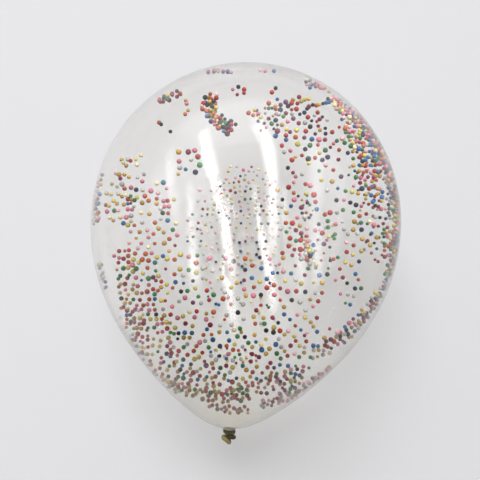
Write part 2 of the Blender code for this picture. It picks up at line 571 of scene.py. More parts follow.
@dataclass(frozen=True)
class BlackFinish:
    """Plain black as far as its mesh covers, and clear elsewhere."""

    name: str
    colour: Colour = (0.01, 0.01, 0.01)

    def material(self) -> Material:
        """Wire the black up.

        Returns:
            The material.
        """
        wiring = Wiring.of_material(self.name)
        black = wiring.add("ShaderNodeBsdfDiffuse", {"Color": rgba(self.colour)})
        return wiring.finish(wiring.mix(wiring.carried("cover"), wiring.clear(), black))


# ---------------------------------------------------------------- mesh helpers

def in_scene(name: str, data: bpy.types.ID) -> Object:
    """Make an object of a mesh, lamp or camera and link it to the scene.

    Args:
        name: the object's name.
        data: what it shows.

    Returns:
        The object.
    """
    item = bpy.data.objects.new(name, data)
    bpy.context.scene.collection.objects.link(item)
    return item


def carry(mesh: Mesh, numbers: dict[str, Sequence[float]]) -> None:
    """Give each point of a mesh the numbers that its finish reads.

    Args:
        mesh: the mesh.
        numbers: a number for each of its points, by the name that the finish knows it by.
    """
    for name, values in numbers.items():
        layer = mesh.attributes.new(name, 'FLOAT', 'POINT')
        layer.data.foreach_set("value", np.asarray(values, dtype=np.float32))


def new_piece(name: str, points: Sequence, faces: Sequence[Face], material: Material,
              numbers: dict[str, Sequence[float]]) -> Object:
    """Make a smooth mesh object with one material.

    Args:
        name: the object's name.
        points: its points, in metres in the frame.
        faces: the point numbers of each face.
        material: the finish.
        numbers: what its points carry, by name.

    Returns:
        The object, linked to the scene.
    """
    mesh = bpy.data.meshes.new(name)
    mesh.from_pydata(points, [], faces)
    carry(mesh, numbers)
    mesh.shade_smooth()
    mesh.materials.append(material)
    return in_scene(name, mesh)


def ring_faces(rings: int, count: int) -> list[Face]:
    """Join rings of points, one after the other, with faces that point outwards.

    Args:
        rings: how many rings there are.  They follow one point in the middle, which is point 0.
        count: how many points each ring has.

    Returns:
        The faces.
    """
    faces = []
    for ring in range(rings - 1):
        for k in range(count):
            nxt = (k + 1) % count
            near = 1 + ring * count
            far = near + count
            faces.append((near + k, far + k, far + nxt, near + nxt))
    return faces


def sheet_faces(rows: int, columns: int) -> list[Face]:
    """Faces of a sheet whose points follow each other row by row."""
    width = columns + 1
    return [(k * width + n, k * width + n + 1, (k + 1) * width + n + 1, (k + 1) * width + n)
            for k in range(rows) for n in range(columns)]


# ---------------------------------------------------------------- the skin

@dataclass
class Skin:
    """The latex film: crown, body and the pleated neck that runs into the knot.

    The pleats sway once, twice and three times round by the three amounts given, and their
    depth is shared between an even part, the pleats themselves and finer ones between them.
    """

    form: BalloonForm
    finish: FilmFinish = field(default_factory=FilmFinish)
    segments: int = 256
    crown_rings: int = 74
    flank_rings: int = 118
    throat_rings: int = 10
    collar_radius: float = 0.0084
    throat_length: float = 0.0031
    throat_radius: float = 0.0045
    throat_curve: float = 2.2
    throat_lean: float = 0.0018
    pleats: int = 17
    pleat_depth: float = 0.24
    pleat_sway: Place = (2.0, 1.4, 0.9)
    fine_start: float = 1.0
    pleat_shares: Place = (0.5, 0.36, 0.14)
    pleats_start: float = 0.0065
    pleats_end: float = 0.001
    floor_blend: float = 0.0003
    thickens_at: float = 0.095
    thickens_fast: float = 0.020
    slow_share: float = 0.45
    fast_share: float = 0.55

    def outline(self) -> list[Span]:
        """Work out the rings from just below the crown's middle to the throat's end.

        Returns:
            Each ring's radius and station.
        """
        form = self.form
        rings = []
        for k in range(1, self.crown_rings):
            turn = 0.5 * math.pi * (1.0 - k / self.crown_rings)
            rings.append((form.radius * math.cos(turn), form.crown * math.sin(turn)))
        collar = crossing(lambda z: form.ring(z) - self.collar_radius, form.throat_station, 0.0)
        last = math.asin(-collar / form.neck)
        for k in range(self.flank_rings + 1):
            station = -form.neck * math.sin(last * k / self.flank_rings)
            rings.append((form.ring(station), station))
        start = rings[-1][0]
        for k in range(1, self.throat_rings + 1):
            share = k / self.throat_rings
            narrowing = (start - self.throat_radius) * (1.0 - share ** self.throat_curve)
            rings.append((self.throat_radius + narrowing, collar - self.throat_length * share))
        return rings

    def pleated(self, turn: float, station: float) -> float:
        """Gather the neck into pleats.

        Args:
            turn: bearing in radians.
            station: height above the widest ring.

        Returns:
            The share of its radius that the skin keeps there.
        """
        throat = self.form.throat_station
        gather = smooth_step(-station, -throat - self.pleats_start, -throat + self.pleats_end)
        once, twice, thrice = (sway * math.sin((k + 1) * turn) for k, sway in enumerate(self.pleat_sway))
        wave = math.cos(self.pleats * turn + twice + thrice)
        fine = math.cos(2.0 * self.pleats * turn + once + self.fine_start)
        even_share, wave_share, fine_share = self.pleat_shares
        depth = even_share + wave_share * wave + fine_share * fine
        return 1.0 - self.pleat_depth * gather ** 2 * depth

    def thickness(self, station: float) -> float:
        """Work out how far the film has thickened towards the neck.

        Args:
            station: height above the widest ring.

        Returns:
            0 on the body, rising to 1 at the knot.
        """
        throat = self.form.throat_station
        slow = smooth_step(-station, self.thickens_at, -throat)
        fast = smooth_step(-station, -throat - self.thickens_fast, -throat)
        return min(1.0, self.slow_share * slow + self.fast_share * fast ** 2)

    def rest_on_floor(self, point: Vector) -> Vector:
        """Flatten the point against the floor, with a soft edge to the flat spot."""
        lifted = 0.5 * (point.z + math.hypot(point.z, self.floor_blend))
        return Vector((point.x, point.y, lifted))

    def build(self) -> Object:
        """Make the film as one closed mesh.

        Returns:
            The skin's object.
        """
        form = self.form
        points = [self.rest_on_floor(form.to_world @ Vector((0.0, 0.0, form.crown)))]
        neck = [0.0]
        outline = self.outline()
        for radius, station in outline:
            below = max(0.0, form.throat_station - station)
            lean = self.throat_lean * smooth_step(below, 0.0, self.throat_length)
            for k in range(self.segments):
                turn = math.radians(360.0 * k / self.segments)
                kept = radius * self.pleated(turn, station)
                local = Vector((kept * math.sin(turn) + lean, -kept * math.cos(turn), station))
                points.append(self.rest_on_floor(form.to_world @ local))
                neck.append(self.thickness(station))
        points.append(form.to_world @ Vector((self.throat_lean, 0.0, outline[-1][1])))
        neck.append(1.0)
        faces = ring_faces(len(outline), self.segments)
        last = len(points) - 1
        tail = last - self.segments
        for k in range(self.segments):
            nxt = (k + 1) % self.segments
            faces += [(0, 1 + k, 1 + nxt), (last, tail + nxt, tail + k)]
        return new_piece("latex_skin", points, faces, self.finish.material(), {"neck": neck})


# ---------------------------------------------------------------- the knot

@dataclass(frozen=True)
class Turn:
    """One turn of the twisted neck round the throat, as a ridged strand.

    The middle is measured from where the throat begins.  Tilts are degrees.  The strand swells
    once and three times round by the two shares given, and its ridges wind along it.
    """

    middle: Place
    radius: float
    strand: float
    tilt: float
    nod: float
    flatten: float
    start: float
    swells: Span = (0.07, 0.04)
    ridges: int = 5
    ridge_depth: float = 0.11
    winding: float = 0.55
    steps: int = 72
    round_steps: int = 30

    def rings(self) -> list[list[Vector]]:
        """Lay the strand in a ring round the throat.

        Returns:
            The points round each of its sections.
        """
        tip = Matrix.Rotation(math.radians(self.tilt), 4, 'Y')
        nod = Matrix.Rotation(math.radians(self.nod), 4, 'X')
        lay = Matrix.Translation(self.middle) @ tip @ nod
        slow, quick = self.swells
        rings = []
        for k in range(self.steps):
            angle = 2.0 * math.pi * k / self.steps
            outward = Vector((math.cos(angle), math.sin(angle), 0.0))
            swell = 1.0 + slow * math.sin(angle + self.start) + quick * math.sin(3.0 * angle)
            ring = []
            for j in range(self.round_steps):
                roll = 2.0 * math.pi * j / self.round_steps
                twist = self.ridges * (roll + self.winding * angle)
                ridge = 1.0 - self.ridge_depth * (0.5 + 0.5 * math.cos(twist + self.start))
                thick = self.strand * swell * ridge
                out = thick * math.cos(roll) * self.flatten
                up = thick * math.sin(roll)
                ring.append(lay @ (outward * (self.radius + out) + Vector((0.0, 0.0, up))))
            rings.append(ring)
        return rings


@dataclass(frozen=True)
class Tail:
    """The short flattened tail of the neck, which ends in a rolled lip round an open mouth.

    The stem lists how far along it each section is and how much it stands out there.
    """

    root: Place = (0.0028, 0.0, -0.0089)
    lean: float = 40.0
    length: float = 0.0070
    half_width: float = 0.0033
    half_depth: float = 0.0016
    stem: tuple[Span, ...] = ((-0.0012, -0.0004), (0.0, 0.0), (0.0014, -0.0003), (0.0028, -0.0006))
    pinch: float = 0.60
    opens: float = 0.0044
    roll: float = 0.0025
    roll_from: float = -70.0
    roll_sweep: float = 250.0
    roll_steps: int = 14
    squash: float = 0.95
    pocket: float = 0.0024
    pocket_closes: float = 1.05
    shaded_folds: float = 9.0
    fold_depth: float = 0.12
    fold_phase: float = 0.8
    fold_start: float = 0.0008
    fold_fade: float = 0.0006
    wave: float = 0.00035
    wave_phase: float = 0.6
    wave_span: Span = (0.002, 0.005)
    round_steps: int = 64
    lip_span: Span = (0.0012, 0.0034)
    wall: float = 0.0009
    mouth_span: Span = (0.7, 1.15)

    @property
    def along(self) -> Vector:
        """Direction in which the tail leaves the knot, in the balloon's own space."""
        lean = math.radians(self.lean)
        return Vector((-math.sin(lean), 0.0, -math.cos(lean)))

    @property
    def across(self) -> Vector:
        """Direction of the flattened tail's width."""
        lean = math.radians(self.lean)
        return Vector((math.cos(lean), 0.0, -math.sin(lean)))

    @property
    def roll_middle(self) -> float:
        """How far along the tail the middle of the rolled lip is."""
        return self.length - self.roll

    def outline(self) -> list[Span]:
        """Follow the tail from its root over the rolled lip and into the mouth.

        Returns:
            Each section's distance along the tail, and how much it stands out.
        """
        sections = list(self.stem)
        for k in range(self.roll_steps + 1):
            turn = math.radians(self.roll_from + self.roll_sweep * k / self.roll_steps)
            out = self.squash * self.roll * math.cos(turn)
            sections.append((self.roll_middle + self.roll * math.sin(turn), out))
        inner = -self.squash * self.roll
        sections.append((self.roll_middle - 0.5 * self.pocket, inner))
        sections.append((self.roll_middle - self.pocket, inner * self.pocket_closes))
        return sections

    def rings(self) -> list[list[Vector]]:
        """Shape the tail.

        Returns:
            The points round each of its sections.
        """
        deep = Vector((0.0, 1.0, 0.0))
        rings = []
        for distance, out in self.outline():
            opened = self.pinch + (1.0 - self.pinch) * min(1.0, distance / self.opens)
            folded = smooth_step(distance, self.roll_middle - self.fold_fade, self.fold_start)
            ring = []
            for j in range(self.round_steps):
                angle = 2.0 * math.pi * j / self.round_steps
                creased = 0.5 + 0.5 * math.cos(self.shaded_folds * angle + self.fold_phase)
                fold = 1.0 - self.fold_depth * folded * creased
                wide = (self.half_width * opened + out) * math.cos(angle) * fold
                thick = (self.half_depth + out) * math.sin(angle) * fold
                swing = self.wave * math.sin(2.0 * angle + self.wave_phase)
                wave = swing * smooth_step(distance, *self.wave_span)
                spot = Vector(self.root) + self.along * (distance + wave)
                ring.append(spot + self.across * wide + deep * thick)
            rings.append(ring)
        return rings

    def shares(self, spot: Vector) -> Span:
        """Tell the lip and its mouth from the rest of the knot.

        Args:
            spot: a point on the knot, in the balloon's own space from where the throat begins.

        Returns:
            How far it belongs to the lip, and how far it lies in the mouth, from 0 to 1.
        """
        away = spot - Vector(self.root)
        distance = away.dot(self.along)
        beside = away - distance * self.along
        lip = smooth_step(distance, *self.lip_span)
        wide = beside.dot(self.across) / (self.half_width - self.wall)
        thick = beside.y / (self.half_depth - self.wall)
        return lip, lip * (1.0 - smooth_step(math.hypot(wide, thick), *self.mouth_span))


def tube(bm: bmesh.types.BMesh, rings: list[list[Vector]], closed: bool) -> None:
    """Join rings of points into a tube.

    Args:
        bm: the mesh that it is added to.
        rings: its sections.
        closed: True to join it end to end, False to cap its ends.
    """
    loops = [[bm.verts.new(point) for point in ring] for ring in rings]
    pairs = list(zip(loops, loops[1:]))
    if closed:
        pairs.append((loops[-1], loops[0]))
    else:
        bm.faces.new(reversed(loops[0]))
        bm.faces.new(loops[-1])
    for near, far in pairs:
        for k in range(len(near)):
            nxt = (k + 1) % len(near)
            bm.faces.new((near[k], near[nxt], far[nxt], far[k]))


@dataclass
class Knot:
    """The overhand knot in the neck: two turns, the tail, and a heart that fills the middle."""

    form: BalloonForm
    finish: BunchedLatexFinish = field(default_factory=BunchedLatexFinish)
    turns: tuple[Turn, ...] = (
        Turn((0.0017, 0.0, -0.0048), 0.0041, 0.0021, 3.0, 5.0, 0.88, 0.4),
        Turn((0.0038, 0.0, -0.0092), 0.0030, 0.0019, 14.0, -8.0, 0.90, 2.1),
    )
    tail: Tail = Tail()
    heart: Place = (0.0022, 0.0, -0.0070)
    heart_radius: float = 0.0030
    heart_roundness: int = 3
    # how far round the line through the turns' middles the painted shade reaches, and over what width it
    # fades
    shade_core_radius: float = 0.0042
    shade_core_fade: float = 0.0012
    voxel: float = 0.00016
    softening: float = 0.5
    softenings: int = 3
    crease_depth: float = 0.00022
    creases_per_metre: float = 900.0
    fine_creases_per_metre: float = 2100.0
    smooth_lip: float = 0.6

    def parts(self) -> Mesh:
        """Make the turns, the tail and the heart, which run into each other.

        Returns:
            One mesh of them all.
        """
        bm = bmesh.new()
        for turn in self.turns:
            tube(bm, turn.rings(), closed=True)
        tube(bm, self.tail.rings(), closed=False)
        bmesh.ops.create_icosphere(bm, subdivisions=self.heart_roundness, radius=self.heart_radius,
                                   matrix=Matrix.Translation(self.heart))
        bmesh.ops.recalc_face_normals(bm, faces=bm.faces)
        mesh = bpy.data.meshes.new("latex_knot")
        bm.to_mesh(mesh)
        bm.free()
        return mesh

    def fuse(self, item: Object) -> None:
        """Make an object of several parts into one soft lump.

        Args:
            item: the object.
        """
        loose = item.data
        fuse = item.modifiers.new("fuse", 'REMESH')
        fuse.mode = 'VOXEL'
        fuse.voxel_size = self.voxel
        soften = item.modifiers.new("soften", 'SMOOTH')
        soften.factor = self.softening
        soften.iterations = self.softenings
        worked = item.evaluated_get(bpy.context.evaluated_depsgraph_get())
        item.data = bpy.data.meshes.new_from_object(worked)
        item.modifiers.clear()
        bpy.data.meshes.remove(loose)
        item.data.name = item.name

    def reach(self, spot: Vector) -> float:
        """Measure how far a point stands out from the line through the turns' middles.

        Args:
            spot: the point.

        Returns:
            Its distance from that line.
        """
        upper, lower = (Vector(turn.middle) for turn in self.turns)
        line = (lower - upper).normalized()
        away = spot - upper
        return (away - away.dot(line) * line).length

    def crease(self, mesh: Mesh) -> None:
        """Press fine creases into the knot, note where it is lip, and note how much painted shade
        darkens it in the mouth and in the middle of the knot between its turns.

        Args:
            mesh: the knot's mesh.
        """
        lips, hollow_shades, moved = [], [], []
        facings = [normal.vector.copy() for normal in mesh.vertex_normals]
        for vert, facing in zip(mesh.vertices, facings):
            spot = vert.co.copy()
            lip, mouth = self.tail.shares(spot)
            out = smooth_step(self.reach(spot), self.shade_core_radius, self.shade_core_radius + self.shade_core_fade)
            lips.append(lip)
            # painted shade: darkest in the mouth and near the line through the turns' middles
            hollow_shades.append(max(mouth, (1.0 - lip) * (1.0 - out)))
            press = (noise.noise(spot * self.creases_per_metre)
                     + 0.5 * noise.noise(spot * self.fine_creases_per_metre))
            depth = self.crease_depth * press * (1.0 - self.smooth_lip * lip)
            moved.extend(spot + facing * depth)
        mesh.vertices.foreach_set("co", moved)
        carry(mesh, {"lip": lips, "hollow_shade": hollow_shades})

    def build(self) -> Object:
        """Tie the knot.

        Returns:
            The knot's object.
        """
        item = in_scene("latex_knot", self.parts())
        self.fuse(item)
        self.crease(item.data)
        throat = Matrix.Translation((0.0, 0.0, self.form.throat_station))
        item.data.transform(self.form.to_world @ throat)
        item.data.materials.clear()
        item.data.materials.append(self.finish.material())
        item.data.shade_smooth()
        return item


# ---------------------------------------------------------------- the foam balls

class Dye(Enum):
    """The foam's colours, each with its linear colour and its share of the balls."""

    RED = ((0.340, 0.022, 0.012), 0.110)
    ORANGE = ((0.365, 0.072, 0.014), 0.095)
    CRIMSON = ((0.195, 0.010, 0.038), 0.070)
    PINK = ((0.490, 0.140, 0.205), 0.085)
    MUSTARD = ((0.400, 0.246, 0.037), 0.090)
    YELLOW = ((0.485, 0.390, 0.076), 0.105)
    GREEN = ((0.034, 0.153, 0.038), 0.100)
    TEAL = ((0.020, 0.128, 0.170), 0.010)
    BLUE = ((0.014, 0.094, 0.238), 0.085)
    NAVY = ((0.012, 0.017, 0.051), 0.035)
    BLACK = ((0.010, 0.009, 0.010), 0.065)
    PURPLE = ((0.102, 0.031, 0.089), 0.025)
    GREY = ((0.400, 0.390, 0.370), 0.120)
    BLUSH = ((0.620, 0.345, 0.380), 0.010)
    CREAM = ((0.620, 0.525, 0.300), 0.010)

    def __init__(self, colour: Colour, share: float) -> None:
        """Keep the colour and the share under their names."""
        self.colour = colour
        self.share = share


WARM = (Dye.YELLOW, Dye.MUSTARD, Dye.ORANGE, Dye.PINK)
COOL = (Dye.BLUE, Dye.NAVY)
ROSY = (Dye.BLUSH, Dye.PINK, Dye.CRIMSON, Dye.GREY)
# pale dyes for the far side: in part a painted reflection, standing in for the washed-out veil that the
# skin in front lays over those balls
VEILED_PALE = (Dye.CREAM, Dye.BLUSH, Dye.GREY, Dye.CREAM, Dye.BLUSH, Dye.GREY, Dye.YELLOW, Dye.NAVY)
BRIGHT = (Dye.ORANGE, Dye.RED, Dye.YELLOW, Dye.BLUE, Dye.MUSTARD, Dye.PINK, Dye.NAVY, Dye.GREEN,
          Dye.CRIMSON)
MIXED = (Dye.YELLOW, Dye.GREEN, Dye.PINK, Dye.RED, Dye.MUSTARD, Dye.ORANGE)
MUTED = (Dye.GREY, Dye.YELLOW, Dye.BLUSH, Dye.MUSTARD, Dye.CREAM, Dye.PINK, Dye.ORANGE)
LIVELY = (Dye.YELLOW, Dye.PINK, Dye.RED, Dye.GREEN, Dye.CREAM, Dye.BLUE, Dye.BLUSH, Dye.PINK)
DUSKY = (Dye.PINK, Dye.MUSTARD, Dye.CRIMSON, Dye.BLUSH, Dye.PURPLE, Dye.ORANGE, Dye.BLUE, Dye.NAVY)
DEEP = (Dye.CRIMSON, Dye.RED, Dye.BLUE, Dye.YELLOW, Dye.BLACK, Dye.CRIMSON, Dye.MUSTARD, Dye.NAVY,
        Dye.PINK, Dye.RED, Dye.PURPLE, Dye.GREEN)
EMBER = (Dye.MUSTARD, Dye.CRIMSON, Dye.ORANGE, Dye.BLACK, Dye.YELLOW, Dye.RED, Dye.GREEN, Dye.BLUSH)
SOOTY = (Dye.BLACK, Dye.PINK, Dye.PURPLE, Dye.BLUSH, Dye.NAVY, Dye.MUSTARD)
STEELY = (Dye.GREY, Dye.NAVY)


@dataclass(frozen=True)
class Ball:
    """One foam ball, by its centre in the balloon's own space.

    Its tone is how faded its dye is, from 0 to 1, and it is turned about each of the three axes.
    """

    centre: Vector
    radius: float
    dye: Dye
    tone: float
    turn: Place


@dataclass(frozen=True)
class Drift:
    """A drift of foam balls clinging to the inside of the skin.

    Each stop of its path is a bearing in degrees, a station in millimetres and the drift's half
    width there in millimetres.  Spacing is the mean distance from one ball to the next.  Balls
    heap up in layers where it is more than one deep.  A ragged drift thins out towards its
    edges.  Most of its balls have a colour that it favours, and a share of them is large.
    """

    path: tuple[Place, ...]
    spacing_mm: float
    layers: int = 1
    ragged: float = 0.3
    favours: tuple[Dye, ...] = ()
    large: float = 0.0


@dataclass(frozen=True)
class Stretch:
    """A straight part of a drift's path between two stops, with its length and area in mm."""

    first: Vector
    second: Vector
    length: float
    area: float


Owner = tuple[int, int]


class Crowd:
    """Balls placed so far, kept in a grid so that none runs into another.

    A ball's owner is the number of its drift and of its layer in that drift.
    """

    def __init__(self, cell: float) -> None:
        """Start empty.

        Args:
            cell: how wide the cells of the grid are.
        """
        self.cell = cell
        self.cells: dict[tuple[int, int, int], list[tuple[Ball, Owner]]] = {}
        self.balls: list[Ball] = []

    def key(self, point: Vector) -> tuple[int, int, int]:
        """The grid cell that holds a point."""
        return tuple(math.floor(value / self.cell) for value in point)

    def near(self, point: Vector, reach: int) -> Iterator[tuple[Ball, Owner]]:
        """Go through the balls round a point.

        Args:
            point: the point.
            reach: how many cells to look at on each side of its own.

        Yields:
            Each ball there, with its owner.
        """
        x, y, z = self.key(point)
        for i in range(x - reach, x + reach + 1):
            for j in range(y - reach, y + reach + 1):
                for k in range(z - reach, z + reach + 1):
                    yield from self.cells.get((i, j, k), ())

    def has_room(self, centre: Vector, radius: float, apart: float, owner: Owner) -> bool:
        """Say whether a ball fits.

        Args:
            centre: where it would be.
            radius: its radius.
            apart: the least distance from the centres of balls with the same owner.
            owner: its owner.

        Returns:
            True if it touches no ball and keeps its distance from its owner's other balls.
        """
        for ball, theirs in self.near(centre, max(1, math.ceil(apart / self.cell))):
            gap = (ball.centre - centre).length
            if gap < radius + ball.radius or (theirs == owner and gap < apart):
                return False
        return True

    def add(self, ball: Ball, owner: Owner) -> None:
        """Take a ball in."""
        self.cells.setdefault(self.key(ball.centre), []).append((ball, owner))
        self.balls.append(ball)


NEAR_DRIFTS = (
    # heaps and small groups towards the crown
    Drift(((-20.5, 95, 4), (-19.5, 88, 6.5), (-17.5, 79, 5)), 3.2, 3, 0.6, EMBER),
    Drift(((-18.5, 80, 3.5), (-13.5, 72, 5), (-8.5, 65, 6)), 3.4, 2, 0.6, DEEP),
    Drift(((-14, 73, 4.5), (-8, 64.5, 6)), 3.3, 3, 0.4, DEEP),
    Drift(((-12, 102, 5), (-5, 96, 6)), 5.6, 1, 0.4, DEEP),
    Drift(((2, 100, 6), (11, 105, 3)), 9, 1, 0, SOOTY),
    Drift(((-2, 82, 4), (3, 75, 5)), 4.8, 1, 0.3, WARM),
    Drift(((4, 89, 3.5), (9, 78, 4)), 5.5),
    Drift(((7, 84, 12), (16, 84, 14.5), (26, 91, 12.5)), 5, 1, 0.35, DEEP),
    Drift(((5, 77, 5.5), (10, 62, 8)), 5.4, 1, 0, DEEP),
    Drift(((22, 92, 2.5), (30, 98, 2.5), (37, 103, 3)), 4.6, 1, 0.3, COOL),
    Drift(((-50, 93, 3), (-38, 100, 4)), 4, 2),
    Drift(((-37, 122, 3), (-28, 124, 3.5), (-18, 119, 3)), 4.2, 1, 0.3, ROSY),
    Drift(((-30, 90, 2.5), (-26, 77, 3)), 5, 1, 0.2, WARM),
    Drift(((-38, 69, 1.5), (-34, 66, 1.5)), 3.6, 1, 0, WARM),
    Drift(((-31, 65, 1.5), (-30, 59, 1.5)), 4, 1, 0, COOL),
    Drift(((0, 126, 3), (5, 125, 3)), 4.5, 1, 0.2, ROSY),
    Drift(((10, 127, 2), (18, 126, 3)), 6, 1, 0.2, COOL),
    # the right flank, thickest near its rim
    Drift(((27, 114, 4), (35, 120, 6), (48, 122, 9)), 4.3, 1, 0.3, DUSKY),
    Drift(((8.5, 60, 15), (19, 62, 17), (31, 62, 14)), 6.1, 1, 0, DEEP),
    Drift(((10, 40, 9), (20, 36, 12), (32, 32, 14)), 8.4),
    Drift(((39, 107, 9), (46, 96, 15), (46, 80, 19), (45, 62, 21)), 4.4, 1, 0.3, LIVELY),
    Drift(((44, 60, 20), (44, 40, 20), (41, 24, 18)), 4.7, 1, 0.3, BRIGHT),
    Drift(((58, 104, 12), (62, 80, 14), (65, 50, 14)), 4.5, 1, 0.3, DUSKY),
    Drift(((66, 50, 14), (66, 15, 14), (65, -15, 12), (63, -42, 10), (61, -64, 8)), 4.8),
    Drift(((52, 22, 8), (55, 5, 10), (56, -20, 7)), 6),
    Drift(((26, 14, 16), (38, 4, 22), (42, -14, 16)), 6.5),
    Drift(((28, -18, 14), (37, -40, 14), (44, -54, 12)), 8),
    # the middle and the neck end
    Drift(((11, 34, 10), (17, 6, 17), (20, -20, 16)), 6),
    Drift(((14, 0, 3), (17, -15, 5), (21, -30, 5)), 4.1, 1, 0.5),
    Drift(((0, -26, 52), (1, -55, 62), (1, -82, 62)), 6.5, 1, 0.12),
    Drift(((0, -82, 60), (0, -105, 56), (-1, -128, 46)), 6.2, 1, 0.12),
    Drift(((33, -100, 9), (43, -91, 11), (52, -76, 13), (60, -56, 13)), 5.2),
    Drift(((-58, -148, 7), (-35, -146, 9), (-15, -148, 10)), 6, 2, 0.4, MIXED),
    Drift(((-18, -157, 6), (4, -160, 7.5), (16, -156, 7)), 5, 1, 0.3, MIXED),
    Drift(((-15, -146, 9), (-2, -145, 10), (11, -139, 10)), 5.4, 2, 0.4, MIXED),
    Drift(((11, -134, 12), (26, -127, 15), (40, -124, 16)), 6, 1, 0.3, DUSKY),
    Drift(((24, -153, 7), (42, -146, 12), (54, -134, 12), (60, -118, 9)), 4.7, 1, 0.3, ROSY),
    Drift(((-30, -131, 9), (10, -131, 9)), 6.3, 1, 0.3, MIXED),
    # the left flank
    Drift(((-38, -31, 22), (-38, -60, 25), (-40, -92, 26)), 5.3, 1, 0.1, MIXED),
    Drift(((-41, -92, 26), (-42, -120, 22), (-46, -140, 14)), 7.2, 1, 0.15, MIXED),
    Drift(((-66, -112, 8), (-66, -142, 8)), 8),
    Drift(((-46, 41, 14), (-45, 19, 23), (-47, -10, 22)), 6.5, 1, 0.4, MUTED),
    Drift(((-41, 9, 4), (-38, 0, 4.5)), 3.6, 1, 0.5),
    Drift(((-32, 20, 10), (-28, -4, 20), (-31, -34, 26)), 6.4, 1, 0.15, MUTED),
    Drift(((-29, 10, 5), (-24, -2, 6)), 5.2, 1, 0.3, (), 0.1),
    Drift(((-22, 48, 9), (-19, 27, 9)), 5.8, 1, 0.2, DEEP, 0.4),
    Drift(((-65, -45, 5), (-63, -66, 6)), 4.6, 1, 0.3, STEELY),
    Drift(((-70, 28, 10), (-66, -12, 12)), 5.2),
)

# the main far drifts lean to pale dyes, which paints in part of the reflection and haze veil that the
# near skin lays over them
FAR_DRIFTS = (
    Drift(((184, 70, 18), (181, 42, 34), (180, 12, 42)), 6.5, 1, 0.4, VEILED_PALE),
    Drift(((181, 12, 44), (182, -20, 48), (182, -46, 46)), 8.2, 1, 0.3, VEILED_PALE),
    Drift(((180, -46, 48), (180, -108, 36)), 14, 1, 0.2, VEILED_PALE),
    Drift(((172, 128, 8), (168, 108, 14)), 6.4, 1, 0.4, SOOTY),
    Drift(((150, -5, 5), (146, -33, 6)), 4.2, 1, 0.4),
    Drift(((153, 42, 8), (148, 15, 9)), 6.2, 1, 0.4),
    Drift(((203, 38, 6), (203, 8, 9), (205, -22, 12)), 8.4, 1, 0.4, ROSY),
    Drift(((140, 10, 14), (138, -40, 14)), 10, 1, 0.3),
    Drift(((80, 102, 9), (91, 86, 15), (83, 68, 11), (94, 48, 17), (83, 26, 11), (91, 6, 14),
           (79, -14, 8), (84, -32, 9)), 6.2, 1, 0.9),
    Drift(((104, 96, 8), (112, 78, 21), (105, 60, 15), (118, 42, 26), (106, 22, 14), (112, 2, 20),
           (100, -18, 8)), 9, 1, 0.9),
    Drift(((-96, -100, 14), (-92, -132, 12)), 8, 1, 0.4),
    Drift(((200, -140, 9), (160, -140, 9)), 7, 1, 0.4),
)


